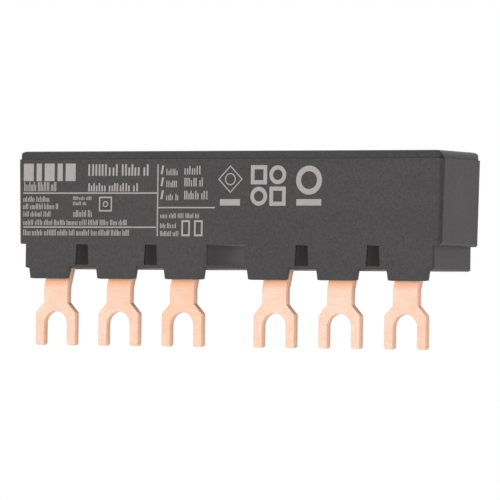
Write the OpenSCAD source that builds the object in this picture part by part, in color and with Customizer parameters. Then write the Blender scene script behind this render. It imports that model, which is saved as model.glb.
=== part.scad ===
// Three-phase comb busbar that links the supply terminals of a row of 45 mm wide motor starters.
// Three copper combs stand on edge in a moulded housing. Their fork tabs are joggled into one
// plane and leave through chutes in the housing's lower part. A cover closes the housing above.
// The frame's origin is the centre of the first fork's slot root, at half the copper's thickness.
// +X runs along the row of forks, -Y is the front, +Z points away from the terminals.

/* [Layout] */
// Number of motor starters that the comb links
starters = 2; // [2:1:5]
// Distance from one starter to the next
module_pitch = 45; // [44:0.5:54]
// Distance from one pole to the next on a starter
pole_pitch = 13.1; // [12.6:0.1:13.6]

/* [Copper] */
// Thickness of the copper sheet
copper_t = 1.4; // [1.2:0.1:1.8]
// Width across a fork
fork_w = 8.2; // [7.8:0.1:9]
// Width of a fork's slot
slot_w = 4.8; // [4.2:0.1:5.4]
// Length from a slot root's centre to the tip of the fork
leg_len = 3.85; // [3:0.05:6]
// Length from a slot root's centre up to the corner of the shoulder
shoulder_drop = 2.1; // [1.8:0.1:3]
// Angle of the shoulder from the neck's side
shoulder_angle = 42; // [35:1:50]
// Width of the neck above a fork
neck_w = 4.9; // [4.4:0.1:6]
// Rounding of the corners of a fork and a bar
corner_r = 0.5; // [0.2:0.1:0.7]
// Radius of a bend at the middle of the sheet
bend_r = 1.8; // [1.5:0.1:2.2]
// Angle by which a neck leans back behind its tongue
lean_angle = 22; // [15:1:26]
// Height from a slot root's centre to the start of the lean
lean_start = 6.8; // [6.5:0.1:7.6]
// Length of bar past its outermost fork centres
bar_over = 4.1; // [3:0.1:6]

/* [Housing] */
// Height of the upper part, from the ledge to the cover's seat
upper_h = 15.5; // [14:0.5:20]
// Height of the lower part with the chutes
lower_h = 4.4; // [4.2:0.1:5]
// Height from a slot root's centre to the bottom edge of the lower part
fork_reach = 10.2; // [10.2:0.1:12]
// Thickness of the front, back and end walls
wall_t = 1.2; // [1:0.1:1.6]
// Thickness of the floor that the bars stand on
floor_t = 1.2; // [1:0.1:1.8]
// Width of the channel that holds one bar
channel_w = 3.75; // [3.2:0.05:4.5]
// Thickness of the insulating rib between two channels
rib_t = 1.05; // [0.8:0.05:1.6]
// Length of a guide rib along a channel
guide_len = 1.2; // [0.8:0.1:2]
// Step from the upper part back to the lower part at each end
end_ledge = 1.35; // [1:0.05:1.6]
// Step from the upper part to the lower part at the back
back_ledge = 0.3; // [0.2:0.05:0.6]
// Slope of the moulded ends, in degrees
draft = 1.25; // [0:0.05:1.5]
// Rounding of the upper part's bottom edges at its ends
end_r = 0.8; // [0.4:0.1:1]
// Rounding of the bottom edges at the back
edge_r = 0.3; // [0.2:0.05:0.6]
// Rounding of the upright edges of the upper part and the cover
upright_r = 0.9; // [0.4:0.05:1]
// Rounding of the lower part's upright edges
side_r = 0.4; // [0.2:0.05:0.6]
// Rounding of the bottom edge of the lower part and the tongues
foot_r = 0.6; // [0.2:0.05:0.6]

/* [Chutes and tongues] */
// Thickness of the front wall in front of the forks
tongue_t = 0.8; // [0.6:0.05:0.9]
// Gap between the front wall and the forks
fork_gap = 0.3; // [0.2:0.05:0.5]
// Length of a tongue below the lower part
tongue_drop = 1.9; // [1.4:0.1:2.2]
// Width of a tongue at its bottom edge
tongue_w = 7.7; // [7.4:0.1:8.6]
// Slope of a tongue's sides, in degrees
tongue_slope = 9; // [0:1:12]
// Distance by which the outer tongues of a starter stand out from their forks
tongue_shift = 0.9; // [0.2:0.1:1]
// Clearance at each side of a fork in its chute
chute_gap = 0.15; // [0.1:0.05:0.3]
// Wall between a chute and the window beside it
chute_wall = 0.55; // [0.5:0.05:0.9]
// Wall between a chute and the pocket beside it
pocket_wall = 1.3; // [1:0.1:1.6]
// Wall between an outermost chute and the end of the lower part
end_wall = 1.75; // [1.2:0.05:2]
// Width of the window between two chutes at its top
window_w = 2.35; // [1.6:0.05:2.4]
// Slope of a window's sides, in degrees
window_slope = 3; // [0:0.5:4]
// Thickness of the sill under the windows
sill_t = 0.65; // [0.4:0.05:0.8]

/* [Cover] */
// Height of the cover above its seat
cover_h = 1.45; // [1.4:0.05:2]
// Rounding of the cover's long top edges
cover_r = 0.8; // [0.4:0.1:1.2]
// Rounding of the cover's top edges at its ends
cover_end_r = 1.3; // [0.8:0.1:1.3]
// Step from the housing's end to the cover's end
cover_inset = 0.3; // [0.2:0.05:0.6]
// Step from the housing's front and back to the cover's
cover_step = 0.1; // [0.05:0.05:0.3]
// Depth of the rim under the cover that fits the housing's mouth
rim_h = 1; // [0.8:0.1:1.6]
// Thickness of that rim
rim_t = 1; // [0.8:0.1:1.4]
// Clearance between the rim and the mouth
rim_gap = 0.1; // [0.05:0.05:0.2]
// Clearance at each side of a bar between its guides, and above its top edge
bar_gap = 0.15; // [0.1:0.05:0.25]

/* [Hidden] */
$fn = 48;
POLES = 3;
eps = 0.01;

// Heights in the housing's own frame, whose zero is the ledge
foot_z = -lower_h;
slot_z = foot_z - fork_reach;
tip_z = slot_z - leg_len;
lean_z = slot_z + lean_start;
tongue_z = foot_z - tongue_drop;
bar_top = upper_h - rim_h - bar_gap;

// Places along the row, measured from its middle
row_half = (starters - 1) * module_pitch / 2;
chute_half = fork_w / 2 + chute_gap;
window_in = pole_pitch - chute_half - chute_wall - window_w;
block_out = pole_pitch + chute_half + pocket_wall;
lower_half = row_half + pole_pitch + chute_half + end_wall;
upper_half = lower_half + end_ledge;
inner_half = upper_half - wall_t;
top_spread = upper_h * tan(draft);

// Places from front to back, measured from the front face
depth = 2 * wall_t + POLES * channel_w + (POLES - 1) * rib_t;
fork_y = tongue_t + fork_gap + copper_t / 2;
lower_back = depth - back_ledge;

function module_x(m) = m * module_pitch - row_half;
function fork_x(m, p) = module_x(m) + (p - 1) * pole_pitch;
function tongue_x(m, p) = fork_x(m, p) + (p - 1) * tongue_shift;
// The guides for the bars stand halfway between the poles of each starter
guide_places = [for (m = [0 : starters - 1], s = [-1, 1]) module_x(m) + s * pole_pitch / 2];
// The first pole's bar lies deepest, and the last one's lies nearest the front
function bar_y(p) = wall_t + channel_w / 2 + (POLES - 1 - p) * (channel_w + rib_t);

module in_frame() translate([-fork_x(0, 0), -fork_y, -slot_z]) children();

// A profile drawn as [x, z], extruded along Y from y0 to y1
module along_y(y0, y1)
    translate([0, y1, 0]) rotate([90, 0, 0]) linear_extrude(y1 - y0) children();

// A profile drawn as [y, z], extruded along X from x0 to x1
module along_x(x0, x1)
    translate([x0, 0, 0]) rotate([90, 0, 90]) linear_extrude(x1 - x0) children();

// The inside of a corner: a square with a quarter circle left over, to be cut away
module corner_cut(r) difference() {
    translate([-eps, -eps]) square(r + eps);
    translate([r, r]) circle(r);
}

// A box from corner a to corner b
module span(a, b) translate(a) cube(b - a);

// ---- Housing ----

// Upper part, seen from the front: only its bottom corners, rounded a little past the ends
module upper_front() {
    reach = end_r + 3 * eps;
    arc = [for (a = [0 : 11.25 : 90])
        [upper_half - end_r + reach * sin(a), end_r * (1 - cos(a))]];
    wall = [upper_half + 2 * top_spread + end_r, upper_h + eps];
    for (s = [0, 1]) mirror([s, 0]) polygon(concat([[0, 0]], arc, [wall, [0, wall[1]]]));
}

// A long bar, rounded at the upright edges of one end, which leans out with the draft
module leaning_end() translate([upper_half, 0, 0]) rotate([0, draft, 0])
    translate([0, 0, -upper_h]) linear_extrude(3 * upper_h) difference() {
        translate([-2.5 * upper_half, 0]) square([2.5 * upper_half, depth]);
        mirror([1, 0]) corner_cut(upright_r);
        translate([0, depth]) rotate(180) corner_cut(upright_r);
    }

// Upper part, seen from the end
module upper_side() difference() {
    square([depth, upper_h]);
    translate([depth, 0]) mirror([1, 0]) corner_cut(edge_r);
}

// Lower part, seen from the front
module lower_front() difference() {
    translate([-lower_half, foot_z]) square([2 * lower_half, lower_h]);
    for (s = [-1, 1])
        scale([s, 1]) translate([lower_half, foot_z]) mirror([1, 0]) corner_cut(foot_r);
}

// Lower part, seen from the end
module lower_side() difference() {
    translate([0, foot_z]) square([lower_back, lower_h]);
    translate([0, foot_z]) corner_cut(foot_r);
    translate([lower_back, foot_z]) mirror([1, 0]) corner_cut(edge_r);
}

// What rounding by r takes off the four upright edges of a part with upright ends
module upright_cuts(r, half, front, back, z0, z1) for (s = [0, 1], far = [0, 1])
    mirror([s, 0, 0]) translate([half, far ? back : front, z0 - 1]) linear_extrude(z1 - z0 + 2)
        mirror([0, far]) mirror([1, 0]) corner_cut(r);

module housing_block() {
    intersection() {
        along_y(-eps, depth + eps) upper_front();
        along_x(-2 * upper_half, 2 * upper_half) upper_side();
        leaning_end();
        mirror([1, 0, 0]) leaning_end();
    }
    difference() {
        intersection() {
            along_y(0, lower_back) lower_front();
            along_x(-lower_half, lower_half) lower_side();
        }
        upright_cuts(side_r, lower_half, 0, lower_back, foot_z, 0);
    }
    for (m = [0 : starters - 1], p = [0 : POLES - 1])
        translate([tongue_x(m, p), 0, 0]) along_y(0, tongue_t) tongue();
}

// A tongue, seen from the front, reaching up into the wall that carries it
module tongue() {
    root_half = tongue_w / 2 + (tongue_drop + foot_r) * tan(tongue_slope);
    difference() {
        polygon([[-tongue_w / 2, tongue_z], [tongue_w / 2, tongue_z],
                 [root_half, foot_z + foot_r], [-root_half, foot_z + foot_r]]);
        for (s = [-1, 1])
            scale([s, 1]) translate([tongue_w / 2, tongue_z]) mirror([1, 0]) corner_cut(foot_r);
    }
}

// The three channels, open at the top, with guide ribs that hold the bars upright
module channels() for (p = [0 : POLES - 1]) difference() {
    span([-inner_half, bar_y(p) - channel_w / 2, floor_t],
         [inner_half, bar_y(p) + channel_w / 2, upper_h + eps]);
    for (x = guide_places, side = [-1, 1])
        translate([x - guide_len / 2,
                   bar_y(p) + side * (copper_t / 2 + bar_gap) - (side < 0 ? channel_w : 0), 0])
            cube([guide_len, channel_w, bar_top]);
}

// The mouth above the channels, which takes the cover's rim
module mouth()
    span([-inner_half, wall_t, bar_top], [inner_half, depth - wall_t, upper_h + eps]);

// A chute, open at the bottom, with the slot in the floor that its fork is dropped through
module chute(m, p) {
    span([fork_x(m, p) - chute_half, tongue_t, tongue_z],
         [fork_x(m, p) + chute_half, lower_back - wall_t, 0]);
    span([fork_x(m, p) - chute_half, bar_y(p) - copper_t / 2 - bar_gap, -eps],
         [fork_x(m, p) + chute_half, bar_y(p) + copper_t / 2 + bar_gap, floor_t + eps]);
}

// A window between two chutes, seen from the front, with its top left corner at x = 0
module window() {
    flare = (lower_h - sill_t) * tan(window_slope);
    polygon([[-flare, foot_z + sill_t], [window_w + flare, foot_z + sill_t], [window_w, 0],
             [0, 0]]);
}

// The windows beside the middle chute of each starter, and the pockets between starters
module windows() {
    for (m = [0 : starters - 1], x = [-window_in - window_w, window_in])
        translate([module_x(m) + x, 0, 0]) along_y(-eps, lower_back - wall_t) window();
    for (m = [1 : starters - 1])
        span([module_x(m - 1) + block_out, -eps, foot_z + sill_t],
             [module_x(m) - block_out, lower_back + eps, 0]);
}

module housing() color([0.33, 0.315, 0.32]) in_frame() difference() {
    housing_block();
    channels();
    mouth();
    for (m = [0 : starters - 1], p = [0 : POLES - 1]) chute(m, p);
    windows();
}

// ---- Cover ----

// Cover, seen from the front or from the end, from x0 to x1, with its top rounded by r
module cover_profile(x0, x1, r) difference() {
    translate([x0, upper_h]) square([x1 - x0, cover_h]);
    translate([x0, upper_h + cover_h]) mirror([0, 1]) corner_cut(r);
    translate([x1, upper_h + cover_h]) rotate(180) corner_cut(r);
}

// The rim under the cover, with cross ribs that keep the bars down between their guides
module rim() {
    outer = [inner_half - rim_gap, depth / 2 - wall_t - rim_gap];
    inner = outer - [rim_t, rim_t];
    translate([0, depth / 2, upper_h - rim_h]) linear_extrude(rim_h + eps) difference() {
        square(2 * outer, center = true);
        difference() {
            square(2 * inner, center = true);
            for (x = guide_places) translate([x, 0]) square([guide_len, 2 * outer[1]], center = true);
        }
    }
}

module cover() color([0.29, 0.28, 0.285]) in_frame() {
    half = upper_half + top_spread - cover_inset;
    back = depth - cover_step;
    difference() {
        intersection() {
            along_y(cover_step, back) cover_profile(-half, half, cover_end_r);
            along_x(-half, half) cover_profile(cover_step, back, cover_r);
        }
        upright_cuts(upright_r, half, cover_step, back, upper_h, upper_h + cover_h);
    }
    rim();
}

// ---- Copper combs ----

function direction(a) = [cos(a), sin(a)];
function left_of(a) = [-sin(a), cos(a)];
function heading(route, i) =
    atan2(route[i + 1][1] - route[i][1], route[i + 1][0] - route[i][0]);

// One side of a strip that follows a route of points at a distance to its left, turning each
// corner in an arc whose radius at the route is r
function strip_side(route, r, off, steps = 10) =
    let (last = len(route) - 1)
    [route[0] + off * left_of(heading(route, 0)),
     for (i = [1 : last - 1])
         let (a0 = heading(route, i - 1), turn = heading(route, i) - a0, side = sign(turn),
              start = route[i] - r * tan(abs(turn) / 2) * direction(a0),
              centre = start + side * r * left_of(a0))
         for (k = [0 : steps]) centre + (off - side * r) * left_of(a0 + turn * k / steps),
     route[last] + off * left_of(heading(route, last - 1))];

function reversed(list) = [for (i = [len(list) - 1 : -1 : 0]) list[i]];

// A strip of sheet of thickness t, seen from its edge
module folded_strip(route, t, r)
    polygon(concat(strip_side(route, r, t / 2), reversed(strip_side(route, r, -t / 2))));

// The route of a tab, as [y, z], from its fork up to its bar. The neck leans back behind its
// tongue, and a deep bar's tab then runs back under the floor before it turns up
function tab_route(p) =
    let (start = [fork_y, slot_z + slot_w], end = [bar_y(p), floor_t + corner_r],
         knee_z = foot_z + bend_r / 2, knee_y = fork_y + (knee_z - lean_z) * tan(lean_angle),
         is_deep = bar_y(p) > knee_y + copper_t)
    is_deep
        ? [start, [fork_y, lean_z], [knee_y, knee_z], [bar_y(p), -bend_r], end]
        : [start, [fork_y, lean_z],
           [bar_y(p), lean_z + (bar_y(p) - fork_y) / tan(lean_angle)], end];

// A fork, seen from the front, with its slot root's centre at the origin
module fork() {
    shoulder_h = (fork_w - neck_w) / 2 / tan(shoulder_angle);
    difference() {
        union() {
            translate([-fork_w / 2, -leg_len]) square([fork_w, leg_len + shoulder_drop]);
            polygon([[-fork_w / 2, shoulder_drop], [fork_w / 2, shoulder_drop],
                     [neck_w / 2, shoulder_drop + shoulder_h],
                     [-neck_w / 2, shoulder_drop + shoulder_h]]);
            translate([-neck_w / 2, 0]) square([neck_w, slot_w + corner_r]);
        }
        circle(slot_w / 2);
        translate([-slot_w / 2, -leg_len - eps]) square([slot_w, leg_len + eps]);
        for (s = [-1, 1]) scale([s, 1]) {
            translate([fork_w / 2, -leg_len]) mirror([1, 0]) corner_cut(corner_r);
            translate([slot_w / 2, -leg_len]) corner_cut(corner_r);
        }
    }
}

// A bar standing on edge, with a joggled fork tab for each starter
module bar(p) color([0.93, 0.74, 0.62]) in_frame() {
    x0 = fork_x(0, p) - bar_over;
    x1 = fork_x(starters - 1, p) + bar_over;
    translate([0, bar_y(p), 0]) along_y(-copper_t / 2, copper_t / 2) difference() {
        translate([x0, floor_t]) square([x1 - x0, bar_top - floor_t]);
        translate([x0, floor_t]) corner_cut(corner_r);
        translate([x1, floor_t]) mirror([1, 0]) corner_cut(corner_r);
        translate([x0, bar_top]) mirror([0, 1]) corner_cut(corner_r);
        translate([x1, bar_top]) rotate(180) corner_cut(corner_r);
    }
    for (m = [0 : starters - 1]) translate([fork_x(m, p), 0, 0]) {
        translate([0, fork_y, slot_z]) along_y(-copper_t / 2, copper_t / 2) fork();
        along_x(-neck_w / 2, neck_w / 2) folded_strip(tab_route(p), copper_t, bend_r);
    }
}

housing();
cover();
bar(0);  // bar_l1
bar(1);  // bar_l2
bar(2);  // bar_l3
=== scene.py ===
"""Finishes a comb busbar: moulded plastic, punched copper, printed marking, studio light and camera.

All lengths are in metres and in the part's own frame: X runs along the row of forks, Y from front
to back, Z up, with zero at the root of the first fork's slot.
"""

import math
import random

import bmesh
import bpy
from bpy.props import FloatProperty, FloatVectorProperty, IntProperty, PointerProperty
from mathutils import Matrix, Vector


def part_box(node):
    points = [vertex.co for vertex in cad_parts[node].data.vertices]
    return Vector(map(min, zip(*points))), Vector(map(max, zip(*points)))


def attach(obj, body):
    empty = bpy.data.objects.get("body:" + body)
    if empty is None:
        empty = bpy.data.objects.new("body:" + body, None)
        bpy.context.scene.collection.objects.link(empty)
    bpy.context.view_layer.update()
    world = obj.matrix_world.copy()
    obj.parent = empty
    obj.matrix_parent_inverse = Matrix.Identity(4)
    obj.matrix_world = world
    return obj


bl_info = {
    "name": "Comb busbar finishes",
    "version": (1, 0, 0),
    "blender": (4, 5, 0),
    "location": "View3D > Sidebar > Busbar",
    "description": "Plastic, copper, marking, lights and camera for a comb busbar",
    "category": "Object",
}

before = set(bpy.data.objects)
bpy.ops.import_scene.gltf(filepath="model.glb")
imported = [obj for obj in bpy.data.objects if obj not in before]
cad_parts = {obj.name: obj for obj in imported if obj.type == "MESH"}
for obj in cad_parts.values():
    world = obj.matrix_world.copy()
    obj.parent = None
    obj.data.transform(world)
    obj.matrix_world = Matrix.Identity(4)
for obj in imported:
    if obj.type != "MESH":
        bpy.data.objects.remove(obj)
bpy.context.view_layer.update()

MM = 0.001
UPPER_HEIGHT = 15.5 * MM
TONGUE_DROP = 1.9 * MM
FLOOR_RADIUS = 2.0
BODY = "root"
COMBS = ("bar_l1", "bar_l2", "bar_l3")
HOUSING_LOW, HOUSING_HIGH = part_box("housing")
ROW_MIDDLE = (HOUSING_LOW.x + HOUSING_HIGH.x) / 2
SEAM = HOUSING_HIGH.z
FRONT = HOUSING_LOW.y
LEDGE = SEAM - UPPER_HEIGHT
FOOT = HOUSING_LOW.z + TONGUE_DROP
FORK_TIPS = min(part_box(comb)[0].z for comb in COMBS)


# ---- Shader maths ----

class Value:
    """What one socket gives. Its operators add the Math nodes that work an expression out."""

    def __init__(self, graph, socket):
        self.graph = graph
        self.socket = socket

    def maths(self, operation, *others):
        return self.graph.add("ShaderNodeMath", {"operation": operation}, [self, *others])

    def __add__(self, other):
        return self.maths("ADD", other)

    __radd__ = __add__

    def __sub__(self, other):
        return self.maths("SUBTRACT", other)

    def __rsub__(self, other):
        return self.graph.add("ShaderNodeMath", {"operation": "SUBTRACT"}, [other, self])

    def __mul__(self, other):
        return self.maths("MULTIPLY", other)

    __rmul__ = __mul__

    def __truediv__(self, other):
        return self.maths("DIVIDE", other)

    def __pow__(self, other):
        return self.maths("POWER", other)

    def __abs__(self):
        return self.maths("ABSOLUTE")

    def at_most(self, other):
        return self.maths("MINIMUM", other)

    def at_least(self, other):
        return self.maths("MAXIMUM", other)

    def rise(self, low, high):
        """0 below low, 1 above high, and a smooth climb between; low may be the greater one."""
        return self.graph.add("ShaderNodeMapRange", {"interpolation_type": "SMOOTHSTEP"},
                              {"Value": self, "From Min": low, "From Max": high})


class Graph:
    """The nodes of one material or of the world."""

    def __init__(self, owner):
        owner.use_nodes = True
        self.tree = owner.node_tree
        self.tree.nodes.clear()

    @staticmethod
    def find(sockets, key):
        """A socket by its place, its identifier or its name."""
        if isinstance(key, int):
            return sockets[key]
        for socket in sockets:
            if socket.identifier == key:
                return socket
        return sockets[key]

    def add(self, kind, settings=None, inputs=(), out=0):
        """Adds a node: its settings first, then the values or links of its sockets.

        Inputs are a list, in the sockets' order, or a dict. What comes back is the output named by
        out, or a list of outputs where out is a tuple.
        """
        node = self.tree.nodes.new(kind)
        for name, value in (settings or {}).items():
            setattr(node, name, value)
        pairs = inputs.items() if isinstance(inputs, dict) else enumerate(inputs)
        for key, value in pairs:
            socket = self.find(node.inputs, key)
            if isinstance(value, Value):
                self.tree.links.new(value.socket, socket)
            else:
                socket.default_value = value
        if isinstance(out, tuple):
            return [Value(self, self.find(node.outputs, key)) for key in out]
        return Value(self, self.find(node.outputs, out)) if node.outputs else None

    def place(self):
        """The point on the surface, in the part's frame."""
        return self.add("ShaderNodeTexCoord", out="Object")

    def parts_of(self, vector):
        return self.add("ShaderNodeSeparateXYZ", inputs=[vector], out=("X", "Y", "Z"))

    def noise(self, place, size, seed=0, detail=2.0, roughness=0.5, stretch=(1, 1, 1)):
        """Cloudy values around 0.5 whose blots are about size across, drawn out by stretch."""
        scale = [1 / (size * s) for s in stretch]
        spot = self.add("ShaderNodeVectorMath", {"operation": "MULTIPLY_ADD"},
                        [place, scale, (seed * 7.3, seed * 3.1, seed * 5.7)])
        return self.add("ShaderNodeTexNoise", {},
                        {"Vector": spot, "Scale": 1.0, "Detail": detail, "Roughness": roughness},
                        out="Fac")

    def specks(self, place, spacing, size, seed=0):
        """1 on small round specks about spacing apart, 0 between them."""
        scale = [1 / spacing] * 3
        spot = self.add("ShaderNodeVectorMath", {"operation": "MULTIPLY_ADD"},
                        [place, scale, (seed * 4.9, seed * 2.3, seed * 8.1)])
        far = self.add("ShaderNodeTexVoronoi", {}, {"Vector": spot, "Scale": 1.0}, out="Distance")
        return far.rise(size / spacing, 0.4 * size / spacing)

    def blend(self, factor, first, second):
        """The first colour where factor is 0 and the second where it is 1."""
        return self.add("ShaderNodeMix", {"data_type": "RGBA"},
                        {"Factor_Float": factor, "A_Color": first, "B_Color": second},
                        out="Result_Color")

    def turned(self, normal, direction, factor):
        """A surface's direction, turned towards another one by factor."""
        return self.add("ShaderNodeMix", {"data_type": "VECTOR"},
                        {"Factor_Float": factor, "A_Vector": normal, "B_Vector": direction},
                        out="Result_Vector")

    def shade(self, colour, factor):
        """A colour made lighter or darker by a value."""
        grey = self.add("ShaderNodeCombineXYZ", inputs=[factor, factor, factor])
        return self.add("ShaderNodeVectorMath", {"operation": "MULTIPLY"}, [colour, grey])

    def rounded(self, radius):
        """The surface's direction with its edges rounded, and how far it turns there."""
        soft = self.add("ShaderNodeBevel", {"samples": 6}, {"Radius": radius})
        true = self.add("ShaderNodeNewGeometry", out="Normal")
        along = self.add("ShaderNodeVectorMath", {"operation": "DOT_PRODUCT"}, [soft, true],
                         out="Value")
        return soft, 1 - along

    def bump(self, height, depth, normal):
        return self.add("ShaderNodeBump", {}, {"Height": height, "Distance": depth,
                                               "Normal": normal})

    def towards(self, spot, direction):
        """How far a unit vector points in a direction, from -1 to 1."""
        return self.add("ShaderNodeVectorMath", {"operation": "DOT_PRODUCT"},
                        [spot, tuple(direction)], out="Value")

    def rays(self):
        """1 on rays of each kind and 0 on others: the camera's, glossy and transmission rays."""
        return self.add("ShaderNodeLightPath",
                        out=("Is Camera Ray", "Is Glossy Ray", "Is Transmission Ray"))

    def surface(self, shader):
        self.add("ShaderNodeOutputMaterial", inputs={"Surface": shader})


def rgba(colour):
    return (*colour, 1.0)


def new_material(name):
    return bpy.data.materials.new(name)


# ---- Finishes ----

def painted_recess_light(graph, place, strength):
    """Painted light: a faint glow painted into the windows and pockets of the lower part, stronger
    near their foot.

    It stands for light that comes up past the forks, because the real recesses may be open below
    behind their sills. In the solids they are closed below.
    """
    x, y, z = graph.parts_of(place)
    _, _, up = graph.parts_of(graph.add("ShaderNodeNewGeometry", out="True Normal"))
    behind_face = (y - FRONT).rise(0.2 * MM, 0.6 * MM) * (HOUSING_HIGH.y - y).rise(0.4 * MM, 1 * MM)
    between = (z - LEDGE).rise(0.1 * MM, 0.0) * (z - FOOT).rise(0.0, 0.1 * MM)
    half_length = HOUSING_HIGH.x - ROW_MIDDLE
    inside = abs(x - ROW_MIDDLE).rise(half_length - 2 * MM, half_length - 2.4 * MM)
    lower = (LEDGE - z) / (LEDGE - FOOT)
    # Painted glint: the downward-facing ceilings of the recesses glow several times as strongly
    painted_ceiling_glint = up.rise(-0.6, -0.9)
    level = 0.75 + lower * 0.5 + painted_ceiling_glint * 3.0
    return behind_face * between * inside * level * strength


def moulded_plastic(name, finish, colour, seed):
    """Dark glass-filled nylon from a spark-eroded mould: fine grain, faint flow marks, dust, edges
    painted lighter as wear and as a painted highlight, and a painted light in the recesses.
    """
    material = new_material(name)
    graph = Graph(material)
    place = graph.place()
    soft, turn = graph.rounded(finish.edge_radius)
    grain = graph.noise(place, finish.grain_size, seed, detail=3.0, roughness=0.6)
    pits = graph.noise(place, 4 * finish.grain_size, seed + 1, detail=2.0)
    flow = graph.noise(place, 9 * MM, seed + 2, detail=3.0, stretch=(3, 1, 1))
    clouds = graph.noise(place, 1.3 * MM, seed + 3, detail=4.0, roughness=0.6)
    dusty_patches = graph.noise(place, 6 * MM, seed + 4).rise(0.45, 0.7)
    dust = graph.specks(place, 1.9 * MM, 0.09 * MM, seed) * dusty_patches
    sparkle = graph.noise(place, 0.3 * MM, seed + 5, detail=2.0, roughness=0.7)

    tone = (1 + (flow - 0.5) * finish.mottle + (clouds - 0.5) * finish.mottle
            + (sparkle - 0.5) * finish.speckle + (grain - 0.5) * 0.3)
    # Edges are painted lighter: partly wear, partly a painted highlight on the rounded edges; the
    # same mask also lowers the roughness there
    worn = turn.rise(0.02, 0.3)
    plain = graph.shade(tuple(colour), tone)
    rubbed_and_highlit = graph.blend(worn * 0.35, plain, rgba([min(1.0, 1.5 * c + 0.01) for c in colour]))
    dusty = graph.blend(dust * 0.35, rubbed_and_highlit, rgba(finish.dust_colour))
    height = grain * 0.6 + pits * 0.4
    normal = graph.bump(height, finish.grain_depth, soft)
    rough = finish.roughness + (clouds - 0.5) * 0.12 + (grain - 0.5) * 0.1 - worn * 0.08
    graph.surface(graph.add("ShaderNodeBsdfPrincipled", {}, {
        "Base Color": dusty,
        "Roughness": rough,
        "Specular IOR Level": finish.gloss,
        "Normal": normal,
        # The emission paints light into the recesses and a glint on their ceilings; it is no lamp
        "Emission Color": graph.shade(tuple(finish.glow_colour),
                                      painted_recess_light(graph, place, finish.glow)),
        "Emission Strength": 1.0,
    }))
    return material


def punched_copper(name, finish):
    """Rolled copper strip: satin faces with rolling lines, sheared sides with a torn half, and a
    painted shade where the tabs bend back.
    """
    material = new_material(name)
    graph = Graph(material)
    place = graph.place()
    _, y, z = graph.parts_of(place)
    soft, turn = graph.rounded(finish.edge_radius)
    _, facing_back, _ = graph.parts_of(graph.add("ShaderNodeNewGeometry", out="True Normal"))
    lean = math.tan(math.radians(finish.lean_angle))
    depth = y - (z - finish.lean_start).at_least(0.0) * lean
    side = abs(facing_back).rise(0.75, 0.45)
    face = 1 - side

    lines = graph.noise(place, 0.16 * MM, 11, detail=3.0, roughness=0.65, stretch=(26, 1, 1))
    clouds = graph.noise(place, 2.6 * MM, 12, detail=3.0)
    drift = graph.noise(place, 24 * MM, 37, detail=1.0)
    blots = graph.noise(place, 1.1 * MM, 13, detail=4.0, roughness=0.65)
    scuffs = graph.noise(place, 0.12 * MM, 14, detail=2.0, stretch=(1, 1, 14)).rise(0.66, 0.8)
    drag = graph.noise(place, 0.1 * MM, 15, detail=2.0, stretch=(1, 16, 1))
    wave = graph.noise(place, 0.8 * MM, 16, detail=2.0)
    torn = (depth + (wave - 0.5) * 0.5 * MM).rise(-0.1 * MM, 0.12 * MM) * side

    warmth = clouds.rise(0.35, 0.7) * 0.45 + drift.rise(0.35, 0.65) * 0.6
    fresh = graph.blend(warmth, rgba(finish.colour), rgba(finish.warm_colour))
    aged = graph.blend(blots.rise(0.5, 0.8) * finish.tarnish, fresh, rgba(finish.tarnish_colour))
    sheared = graph.blend(side * 0.6, aged, rgba(finish.sheared_colour))
    ripped = graph.blend(torn * 0.5, sheared, rgba(finish.torn_colour))
    # Painted shade: where the tab bends back, its face is blended towards a darker, warmer colour
    # that stands for the bend's shading
    bent = (z - finish.lean_start).rise(-0.3 * MM, 0.5 * MM) * face
    painted_bend_shade = graph.blend(bent * 0.7, ripped, rgba(finish.painted_bend_colour))
    bright = graph.blend(turn.rise(0.03, 0.3) * 0.3, painted_bend_shade, rgba(finish.colour))
    streaked = graph.shade(bright, 1 + (lines - 0.5) * finish.streaks + (blots - 0.5) * 0.12)
    height = lines * 0.5 * face + drag * 0.8 * side + blots * 0.6 * torn
    front = facing_back.rise(-0.4, -0.7)
    gentle = graph.turned(soft, (0.0, -1.0, 0.0), (z - finish.lean_start).rise(-0.5 * MM, 0.2 * MM)
                          * front * finish.gentle_bend)
    normal = graph.bump(height, finish.line_depth, gentle)
    rough = (finish.roughness + (blots - 0.5) * 0.16 + (lines - 0.5) * 0.1
             + torn * 0.14 - scuffs * face * 0.08)
    graph.surface(graph.add("ShaderNodeBsdfPrincipled", {}, {
        "Base Color": streaked,
        "Metallic": finish.metal,
        "Roughness": rough,
        "Normal": normal,
    }))
    return material


def pad_ink(name, layout):
    """Pale printing ink: thin in places, with tiny pinholes."""
    material = new_material(name)
    graph = Graph(material)
    place = graph.place()
    film = graph.noise(place, 0.5 * MM, 21, detail=4.0, roughness=0.6)
    holes = graph.specks(place, 0.55 * MM, 0.05 * MM, 22)
    thin = (film.rise(0.72, 0.5) * 0.12 + holes * 0.3).at_most(0.4)
    worn = graph.blend(thin, rgba(layout.ink_colour), rgba([0.45 * c for c in layout.ink_colour]))
    graph.surface(graph.add("ShaderNodeBsdfPrincipled", {}, {
        "Base Color": worn,
        "Roughness": 0.62 + (film - 0.5) * 0.2,
        "Specular IOR Level": 0.3,
        "Normal": graph.bump(film, 0.004 * MM, graph.add("ShaderNodeNewGeometry", out="Normal")),
    }))
    return material


# ---- Printed marking ----

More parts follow.
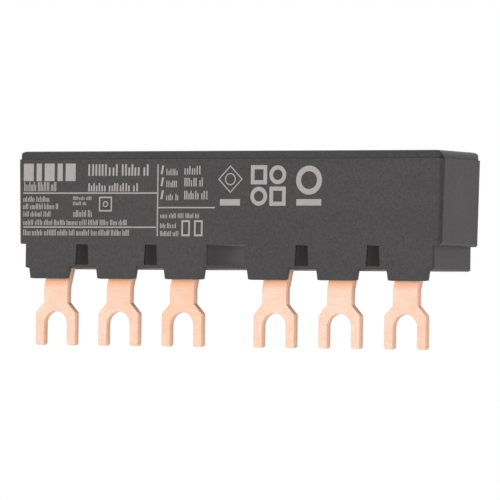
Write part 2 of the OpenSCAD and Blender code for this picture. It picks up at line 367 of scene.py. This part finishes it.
class Print:
    """A group of printed shapes on the front face, laid out in millimetres.

    Across is measured from the middle of the row, and down from the seam under the cover.
    """

    def __init__(self, name, layout):
        self.name = name
        self.mesh = bmesh.new()
        self.film = layout.film

    def outline(self, points, hole=None):
        """A flat shape of ink, from points (across, down), with a hole of as many points or none."""
        rings = []
        for loop in (points, hole) if hole else (points,):
            spots = [(ROW_MIDDLE + across * MM, SEAM - down * MM) for across, down in loop]
            rings.append([[self.mesh.verts.new((x, y, z)) for x, z in spots]
                          for y in (FRONT - self.film, FRONT)])
        for front, back in rings:
            for i in range(len(front)):
                j = (i + 1) % len(front)
                self.mesh.faces.new((front[i], back[i], back[j], front[j]))
        if not hole:
            self.mesh.faces.new(rings[0][0])
            self.mesh.faces.new(rings[0][1][::-1])
            return
        for side in (0, 1):
            outer, inner = rings[0][side], rings[1][side]
            for i in range(len(outer)):
                j = (i + 1) % len(outer)
                self.mesh.faces.new((outer[i], outer[j], inner[j], inner[i]))

    def bar(self, left, top, width, height, lean=0.0):
        """A filled bar, whose top stands lean further right than its foot."""
        self.outline([(left, top + height), (left + width, top + height),
                      (left + width + lean, top), (left + lean, top)])

    def rule(self, start, end, thick):
        """A straight line of ink from one point to another."""
        a, b = Vector(start), Vector(end)
        side = (b - a).normalized().orthogonal() * thick / 2
        self.outline([a + side, b + side, b - side, a - side])

    def ring(self, middle, radius, thick, sides=48):
        """A ring of ink, or with four sides a diamond."""
        def loop(r):
            return [(middle[0] + r * math.cos(2 * math.pi * k / sides),
                     middle[1] + r * math.sin(2 * math.pi * k / sides))
                    for k in range(sides)]
        shrink = thick / math.cos(math.pi / sides)
        self.outline(loop(radius), loop(radius - shrink))

    def frame(self, left, top, width, height, thick):
        """The outline of a box."""
        def loop(inset):
            right, bottom = left + width - inset, top + height - inset
            return [(left + inset, bottom), (right, bottom),
                    (right, top + inset), (left + inset, top + inset)]
        self.outline(loop(0.0), loop(thick))

    def row(self, left, top, width, height, stroke, chance):
        """A line of small print shown as plain upright strokes, in groups with gaps between them."""
        across = 0.0
        left_in_group = chance.randint(4, 9)
        while across + stroke <= width:
            tall = height if chance.random() < 0.55 else 0.72 * height
            self.bar(left + across, top + height - tall, stroke, tall)
            across += stroke * chance.choice((1.75, 1.9, 2.2))
            left_in_group -= 1
            if left_in_group == 0:
                across += 1.5 * stroke
                left_in_group = chance.randint(4, 9)

    def finish(self, material):
        """Turns the ink into a piece that rides with the part."""
        bmesh.ops.recalc_face_normals(self.mesh, faces=self.mesh.faces)
        mesh = bpy.data.meshes.new(self.name)
        self.mesh.to_mesh(mesh)
        self.mesh.free()
        piece = bpy.data.objects.new(self.name, mesh)
        bpy.context.scene.collection.objects.link(piece)
        mesh.materials.append(material)
        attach(piece, BODY)


def ink_of(layout):
    return bpy.data.materials.get("marking_ink") or pad_ink("marking_ink", layout)


# ---- Settings ----

class BusbarPlastic(bpy.types.PropertyGroup):
    """Finish of the housing and its cover"""

    housing_colour: FloatVectorProperty(
        name="Housing", description="Colour of the housing", subtype="COLOR", size=3,
        min=0.0, max=1.0, default=(0.0475, 0.0412, 0.0427))
    # Painted shade: the cover is coloured darker than the housing so that its top looks as shaded as
    # where little light falls from above
    painted_shade_cover_colour: FloatVectorProperty(
        name="Cover", description="Colour of the cover", subtype="COLOR", size=3,
        min=0.0, max=1.0, default=(0.038, 0.0325, 0.034))
    dust_colour: FloatVectorProperty(
        name="Dust", description="Colour of the dust specks", subtype="COLOR", size=3,
        min=0.0, max=1.0, default=(0.30, 0.29, 0.28))
    grain_size: FloatProperty(
        name="Grain size", description="Width of one grain of the moulded texture",
        subtype="DISTANCE", unit="LENGTH", min=0.02 * MM, default=0.11 * MM, precision=5)
    grain_depth: FloatProperty(
        name="Grain depth", description="Depth of the moulded texture",
        subtype="DISTANCE", unit="LENGTH", min=0.0, default=0.014 * MM, precision=6)
    edge_radius: FloatProperty(
        name="Edge radius", description="Rounding of the sharpest moulded edges",
        subtype="DISTANCE", unit="LENGTH", min=0.0, default=0.13 * MM, precision=5)
    roughness: FloatProperty(
        name="Roughness", description="Roughness of the plastic", subtype="FACTOR",
        min=0.0, max=1.0, default=0.52)
    gloss: FloatProperty(
        name="Gloss", description="Strength of the plastic's reflection", subtype="FACTOR",
        min=0.0, max=1.0, default=0.42)
    # Strength and colour of the light painted into the windows and pockets as emission
    glow: FloatProperty(
        name="Recess glow", description="Light that comes up into the windows and pockets",
        min=0.0, max=0.2, default=0.025)
    glow_colour: FloatVectorProperty(
        name="Glow colour", description="Colour of that light", subtype="COLOR", size=3,
        min=0.0, max=1.0, default=(1.0, 0.9, 0.92))
    mottle: FloatProperty(
        name="Mottle", description="How much the plastic's tone varies", subtype="FACTOR",
        min=0.0, max=1.0, default=0.4)
    speckle: FloatProperty(
        name="Speckle", description="How much the plastic's tone varies from grain to grain",
        subtype="FACTOR", min=0.0, max=2.0, default=1.5)


class BusbarCopper(bpy.types.PropertyGroup):
    """Finish of the copper combs"""

    colour: FloatVectorProperty(
        name="Copper", description="Colour of clean copper", subtype="COLOR", size=3,
        min=0.0, max=1.0, default=(0.872, 0.650, 0.530))
    warm_colour: FloatVectorProperty(
        name="Warm copper", description="Colour where the copper is yellower", subtype="COLOR",
        size=3, min=0.0, max=1.0, default=(0.875, 0.545, 0.38))
    tarnish_colour: FloatVectorProperty(
        name="Tarnish", description="Colour of the faint tarnish", subtype="COLOR", size=3,
        min=0.0, max=1.0, default=(0.90, 0.47, 0.35))
    sheared_colour: FloatVectorProperty(
        name="Sheared side", description="Colour of the punched sides", subtype="COLOR", size=3,
        min=0.0, max=1.0, default=(0.87, 0.47, 0.31))
    torn_colour: FloatVectorProperty(
        name="Torn side", description="Colour of the torn half of the punched sides",
        subtype="COLOR", size=3, min=0.0, max=1.0, default=(0.70, 0.40, 0.28))
    # Colour of the painted shade on the face where the sheet bends back
    painted_bend_colour: FloatVectorProperty(
        name="Bend", description="Colour where the sheet is bent back", subtype="COLOR", size=3,
        min=0.0, max=1.0, default=(0.98, 0.50, 0.30))
    gentle_bend: FloatProperty(
        name="Gentle bend", description="How far the bend's face is shaded as if it still stood "
        "upright", subtype="FACTOR", min=0.0, max=1.0, default=1.0)
    streaks: FloatProperty(
        name="Streaks", description="How much the rolling lines show as a change of tone",
        subtype="FACTOR", min=0.0, max=1.0, default=0.2)
    metal: FloatProperty(
        name="Metal", description="How much of the surface is bare metal, not matt skin",
        subtype="FACTOR", min=0.0, max=1.0, default=0.6)
    tarnish: FloatProperty(
        name="Tarnish amount", description="How strongly the tarnish shows", subtype="FACTOR",
        min=0.0, max=1.0, default=0.5)
    roughness: FloatProperty(
        name="Roughness", description="Roughness of the copper", subtype="FACTOR",
        min=0.0, max=1.0, default=0.42)
    line_depth: FloatProperty(
        name="Line depth", description="Depth of the rolling lines",
        subtype="DISTANCE", unit="LENGTH", min=0.0, default=0.006 * MM, precision=6)
    edge_radius: FloatProperty(
        name="Edge radius", description="Rounding of the punched edges",
        subtype="DISTANCE", unit="LENGTH", min=0.0, default=0.12 * MM, precision=5)
    lean_angle: FloatProperty(
        name="Lean", description="Angle by which each tab leans back above its fork, in degrees",
        min=0.0, max=45.0, default=22.0)
    lean_start: FloatProperty(
        name="Lean start", description="Height at which the tabs start to lean",
        subtype="DISTANCE", unit="LENGTH", default=6.8 * MM, precision=4)


class BusbarMarking(bpy.types.PropertyGroup):
    """Plain marking on the front face"""

    ink_colour: FloatVectorProperty(
        name="Ink", description="Colour of the printing ink", subtype="COLOR", size=3,
        min=0.0, max=1.0, default=(0.44, 0.405, 0.395))
    film: FloatProperty(
        name="Ink film", description="Thickness of the ink",
        subtype="DISTANCE", unit="LENGTH", min=0.0, default=0.012 * MM, precision=6)
    rule: FloatProperty(
        name="Rule width", description="Width of the printed rules, in millimetres",
        min=0.05, default=0.24)
    seed: IntProperty(
        name="Seed", description="Seed of the strokes that stand for small print", default=5)


class BusbarStage(bpy.types.PropertyGroup):
    """Floor, lights and camera"""

    floor_drop: FloatProperty(
        name="Floor drop", description="How far the floor lies below the forks",
        subtype="DISTANCE", unit="LENGTH", min=0.0, default=300 * MM)
    floor_colour: FloatVectorProperty(
        name="Floor", description="Colour of the floor", subtype="COLOR", size=3,
        min=0.0, max=1.0, default=(0.9, 0.9, 0.9))
    dome: FloatProperty(
        name="Dome", description="Strength of the light from all round", min=0.0, default=0.9)
    dark_azimuth: FloatProperty(
        name="Dark side", description="Angle of the room's dark side, from the part's front, in "
        "degrees", default=65.0)
    key: FloatProperty(
        name="Key", description="Power of the softbox at the front left", min=0.0, default=0.8)
    low: FloatProperty(
        name="Low light", description="Power of the softbox below the front", min=0.0, default=0.6)
    fill: FloatProperty(
        name="Fill", description="Power of the softbox at the right", min=0.0, default=0.1)
    azimuth: FloatProperty(
        name="Azimuth", description="Camera's angle round the part, from its front, in degrees",
        default=27.94)
    elevation: FloatProperty(
        name="Elevation", description="Camera's angle above the part, in degrees", default=-0.957)
    roll: FloatProperty(
        name="Roll", description="Camera's turn about its own axis, in degrees", default=0.733)
    distance: FloatProperty(
        name="Distance", description="Distance from the camera to the ledge's middle",
        subtype="DISTANCE", unit="LENGTH", min=0.1, default=1.0621)
    aim_right: FloatProperty(
        name="Aim right", description="How far right of the ledge's middle the camera aims",
        subtype="DISTANCE", unit="LENGTH", default=4.383 * MM, precision=6)
    aim_down: FloatProperty(
        name="Aim down", description="How far below the ledge's middle the camera aims",
        subtype="DISTANCE", unit="LENGTH", default=0.957 * MM, precision=6)
    lens: FloatProperty(
        name="Lens", description="Focal length in millimetres", min=10.0, default=425.0)


# ---- Pieces ----

class BUSBAR_OT_housing(bpy.types.Operator):
    """Give the housing its moulded finish"""

    bl_idname = "busbar.housing"
    bl_label = "Finish the housing"

    def execute(self, context):
        finish = context.scene.busbar_plastic
        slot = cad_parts["housing"].material_slots[0]
        slot.material = moulded_plastic("housing_plastic", finish, finish.housing_colour, 1)
        return {"FINISHED"}


class BUSBAR_OT_cover(bpy.types.Operator):
    """Give the cover its moulded finish"""

    bl_idname = "busbar.cover"
    bl_label = "Finish the cover"

    def execute(self, context):
        finish = context.scene.busbar_plastic
        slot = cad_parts["cover"].material_slots[0]
        slot.material = moulded_plastic("cover_plastic", finish, finish.painted_shade_cover_colour, 6)
        return {"FINISHED"}


class BUSBAR_OT_combs(bpy.types.Operator):
    """Give the three combs their copper finish"""

    bl_idname = "busbar.combs"
    bl_label = "Finish the copper combs"

    def execute(self, context):
        copper = punched_copper("comb_copper", context.scene.busbar_copper)
        for comb in COMBS:
            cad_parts[comb].material_slots[0].material = copper
        return {"FINISHED"}


class BUSBAR_OT_rules(bpy.types.Operator):
    """Print the rules that part the marking into fields"""

    bl_idname = "busbar.rules"
    bl_label = "Print the rules"

    def execute(self, context):
        layout = context.scene.busbar_marking
        ink = Print("marking_rules", layout)
        ink.rule((-14.05, 1.0), (-14.05, 14.0), layout.rule)
        ink.rule((-42.1, 6.2), (-14.2, 6.2), layout.rule)
        ink.rule((-42.0, 12.4), (-14.3, 12.4), layout.rule)
        ink.rule((-13.9, 8.83), (-2.25, 8.83), layout.rule)
        ink.finish(ink_of(layout))
        return {"FINISHED"}


class BUSBAR_OT_headings(bpy.types.Operator):
    """Print the plain fields and strokes of the headings"""

    bl_idname = "busbar.headings"
    bl_label = "Print the headings"

    def execute(self, context):
        layout = context.scene.busbar_marking
        chance = random.Random(layout.seed)
        ink = Print("marking_headings", layout)
        across, top, height, gap = -42.05, 0.8, 3.2, 0.6
        for width in (2.1, 1.1, 2.1, 1.1, 2.1):
            ink.bar(across, top, width, height)
            across += width + gap
        ink.row(-41.9, 4.15, 6.9, 1.7, 0.17, chance)
        ink.row(-28.5, 0.95, 12.6, 2.1, 0.36, chance)
        ink.row(-28.45, 4.4, 10.8, 1.5, 0.3, chance)
        ink.finish(ink_of(layout))
        return {"FINISHED"}


class BUSBAR_OT_rows(bpy.types.Operator):
    """Print the rows of strokes that stand for the small print"""

    bl_idname = "busbar.rows"
    bl_label = "Print the rows"

    def execute(self, context):
        layout = context.scene.busbar_marking
        chance = random.Random(layout.seed + 1)
        ink = Print("marking_rows", layout)
        # Each row's left end, top, width and height
        rows = (
            (-42.05, 6.8, 5.9, 1.0), (-42.05, 8.1, 7.6, 1.05), (-42.0, 9.5, 5.7, 1.0),
            (-42.0, 11.05, 21.7, 1.0), (-42.0, 12.85, 22.1, 1.1),
            (-31.6, 6.8, 3.8, 0.65), (-31.6, 7.75, 2.9, 0.65), (-31.55, 9.3, 3.9, 1.25),
            (-13.45, 9.85, 8.2, 0.9), (-13.45, 11.65, 3.7, 0.9), (-13.45, 13.05, 3.9, 0.95),
        )
        fine_stroke = 0.16
        for row in rows:
            ink.row(*row, fine_stroke, chance)
        # Three lines at the right: a leaning bar, a short row and a longer one
        for top, width in ((1.3, 4.1), (3.45, 4.1), (5.8, 4.9)):
            ink.bar(-13.5, top - 0.1, 0.42, 1.6, 0.3)
            ink.row(-12.3, top + 0.5, 2.6, 1.2, 0.2, chance)
            ink.row(-8.6, top, width, 1.55, 0.24, chance)
        ink.finish(ink_of(layout))
        return {"FINISHED"}


class BUSBAR_OT_marks(bpy.types.Operator):
    """Print the plain frames, rings and bars"""

    bl_idname = "busbar.marks"
    bl_label = "Print the marks"

    def execute(self, context):
        layout = context.scene.busbar_marking
        ink = Print("marking_shapes", layout)
        ink.ring((0.8, 3.7), 2.5, 0.2, sides=4)
        ink.ring((0.8, 3.7), 1.1, 0.2)
        ink.bar(-1.26, 7.3, 4.08, 1.15)
        # Two frames and two rings, set crosswise
        pitch_across, pitch_down, thick = 3.8, 3.85, 0.75
        for column, row in ((0, 0), (1, 1)):
            ink.frame(4.95 + pitch_across * column, 1.2 + pitch_down * row, 3.3, 3.45, thick)
        for column, row in ((1, 0), (0, 1)):
            ink.ring((6.6 + pitch_across * column, 2.93 + pitch_down * row), 1.7, thick)
        ink.ring((16.7, 3.9), 2.6, 1.0)
        ink.bar(14.2, 7.3, 5.0, 1.15)
        ink.frame(-9.1, 11.1, 1.75, 2.9, 0.34)
        ink.frame(-6.5, 11.1, 1.75, 2.9, 0.34)
        ink.frame(-26.2, 6.85, 2.7, 2.7, 0.26)
        ink.ring((-24.85, 8.2), 0.55, 0.2)
        ink.finish(ink_of(layout))
        return {"FINISHED"}


# ---- Stage ----

def heading(azimuth, elevation=0.0):
    """A direction from the part; azimuth is from its front towards its right end, in degrees."""
    turn, tilt = math.radians(azimuth), math.radians(elevation)
    return Vector((math.sin(turn) * math.cos(tilt), -math.cos(turn) * math.cos(tilt),
                   math.sin(tilt)))


def camera_axes(stage):
    """The camera's right, up and back directions, with its roll."""
    turn, roll = math.radians(stage.azimuth), math.radians(stage.roll)
    back = heading(stage.azimuth, stage.elevation)
    right = Vector((math.cos(turn), math.sin(turn), 0.0))
    up = back.cross(right)
    return (math.cos(roll) * right + math.sin(roll) * up,
            math.cos(roll) * up - math.sin(roll) * right, back)


def ledge_middle():
    """The middle of the ledge on the front face, which the camera's distance is measured from."""
    return Vector((ROW_MIDDLE, FRONT, LEDGE))


class BUSBAR_OT_camera(bpy.types.Operator):
    """Put the camera at its place"""

    bl_idname = "busbar.camera"
    bl_label = "Place the camera"

    def execute(self, context):
        stage = context.scene.busbar_stage
        right, up, back = camera_axes(stage)
        place = ledge_middle() + back * stage.distance
        aim = ledge_middle() + right * stage.aim_right - up * stage.aim_down
        back = (place - aim).normalized()
        right = up.cross(back).normalized()
        up = back.cross(right)
        lens = bpy.data.cameras.new("camera")
        lens.lens = stage.lens
        lens.sensor_width = 36.0
        lens.clip_start = 0.01
        lens.clip_end = 20.0
        camera = bpy.data.objects.new("camera", lens)
        turn = Matrix((right, up, back)).transposed()
        camera.matrix_world = Matrix.Translation(place) @ turn.to_4x4()
        context.scene.collection.objects.link(camera)
        context.scene.camera = camera
        return {"FINISHED"}


def softbox(name, azimuth, elevation, distance, size, power):
    """A square lamp that faces the part."""
    lamp = bpy.data.lights.new(name, "AREA")
    lamp.shape = "SQUARE"
    lamp.size = size
    lamp.energy = power
    back = heading(azimuth, elevation)
    box = bpy.data.objects.new(name, lamp)
    box.location = ledge_middle() + back * distance
    box.rotation_euler = back.to_track_quat("Z", "Y").to_euler()
    bpy.context.scene.collection.objects.link(box)


def white_floor(stage):
    """Pale floor that keeps the part's shadow and fades into the white backdrop."""
    material = new_material("floor_paper")
    graph = Graph(material)
    x, y, _ = graph.parts_of(graph.place())
    away = ((x - ROW_MIDDLE) ** 2.0 + y ** 2.0) ** 0.5
    camera, glossy, through = graph.rays()
    seen = camera.at_least(glossy).at_least(through)
    fade = away.rise(0.12, 0.5) * 0.35 + 0.65
    paper = graph.add("ShaderNodeBsdfDiffuse", {}, {"Color": rgba(stage.floor_colour)})
    white = graph.add("ShaderNodeEmission", {}, {"Color": (1, 1, 1, 1), "Strength": 1.0})
    graph.surface(graph.add("ShaderNodeMixShader", {}, [seen * fade, paper, white]))
    return material


def studio_dome(world, stage):
    """White all round for the camera; to light by, a bright backdrop and one dark side."""
    graph = Graph(world)
    spot = graph.add("ShaderNodeTexCoord", out="Generated")
    camera, glossy, through = graph.rays()
    seen = camera.at_least(through)
    dark = graph.towards(spot, heading(stage.dark_azimuth))
    dimmed = dark.rise(0.6, 0.95) * (0.45 + 0.5 * glossy)
    away = graph.towards(spot, -heading(stage.azimuth, stage.elevation))
    light = (1 - dimmed) * (1 + away.rise(0.4, 1.0) * 0.5) * stage.dome
    strength = seen + (1 - seen) * light
    background = graph.add("ShaderNodeBackground", {}, {"Color": (1, 1, 1, 1),
                                                        "Strength": strength})
    graph.add("ShaderNodeOutputWorld", inputs={"Surface": background})


class BUSBAR_OT_stage(bpy.types.Operator):
    """Lay the floor and set the lights"""

    bl_idname = "busbar.stage"
    bl_label = "Set the stage"

    def execute(self, context):
        scene = context.scene
        stage = scene.busbar_stage
        mesh = bpy.data.meshes.new("floor")
        disc = bmesh.new()
        bmesh.ops.create_circle(disc, cap_ends=True, segments=96, radius=FLOOR_RADIUS)
        disc.to_mesh(mesh)
        disc.free()
        mesh.materials.append(white_floor(stage))
        floor = bpy.data.objects.new("floor", mesh)
        floor.location = (0.0, 0.0, FORK_TIPS - stage.floor_drop)
        scene.collection.objects.link(floor)
        scene.world = bpy.data.worlds.new("studio")
        studio_dome(scene.world, stage)
        softbox("key_softbox", azimuth=-38, elevation=22, distance=0.8, size=0.6, power=stage.key)
        softbox("low_softbox", azimuth=-5, elevation=-26, distance=0.6, size=0.4, power=stage.low)
        softbox("fill_softbox", azimuth=95, elevation=8, distance=0.8, size=0.5, power=stage.fill)
        scene.view_settings.view_transform = "Standard"
        return {"FINISHED"}


# ---- Add-on ----

class BUSBAR_PT_panel(bpy.types.Panel):
    """The busbar's pieces and stage"""

    bl_idname = "BUSBAR_PT_panel"
    bl_label = "Busbar"
    bl_space_type = "VIEW_3D"
    bl_region_type = "UI"
    bl_category = "Busbar"

    def draw(self, context):
        for operator in OPERATORS:
            self.layout.operator(operator.bl_idname)
        for name in SETTINGS:
            box = self.layout.box()
            group = getattr(context.scene, name)
            for prop in group.__annotations__:
                box.prop(group, prop)


SETTINGS = {
    "busbar_plastic": BusbarPlastic,
    "busbar_copper": BusbarCopper,
    "busbar_marking": BusbarMarking,
    "busbar_stage": BusbarStage,
}
OPERATORS = (
    BUSBAR_OT_housing,
    BUSBAR_OT_cover,
    BUSBAR_OT_combs,
    BUSBAR_OT_rules,
    BUSBAR_OT_headings,
    BUSBAR_OT_rows,
    BUSBAR_OT_marks,
    BUSBAR_OT_stage,
    BUSBAR_OT_camera,
)


def register():
    for cls in (*SETTINGS.values(), *OPERATORS, BUSBAR_PT_panel):
        bpy.utils.register_class(cls)
    for name, group in SETTINGS.items():
        setattr(bpy.types.Scene, name, PointerProperty(type=group))


def unregister():
    for name in SETTINGS:
        delattr(bpy.types.Scene, name)
    for cls in (BUSBAR_PT_panel, *OPERATORS[::-1], *SETTINGS.values()):
        bpy.utils.unregister_class(cls)


def main():
    register()
    bpy.ops.busbar.housing()
    bpy.ops.busbar.cover()
    bpy.ops.busbar.combs()
    bpy.ops.busbar.rules()
    bpy.ops.busbar.headings()
    bpy.ops.busbar.rows()
    bpy.ops.busbar.marks()
    bpy.ops.busbar.stage()
    bpy.ops.busbar.camera()


if __name__ == "__main__":
    main()
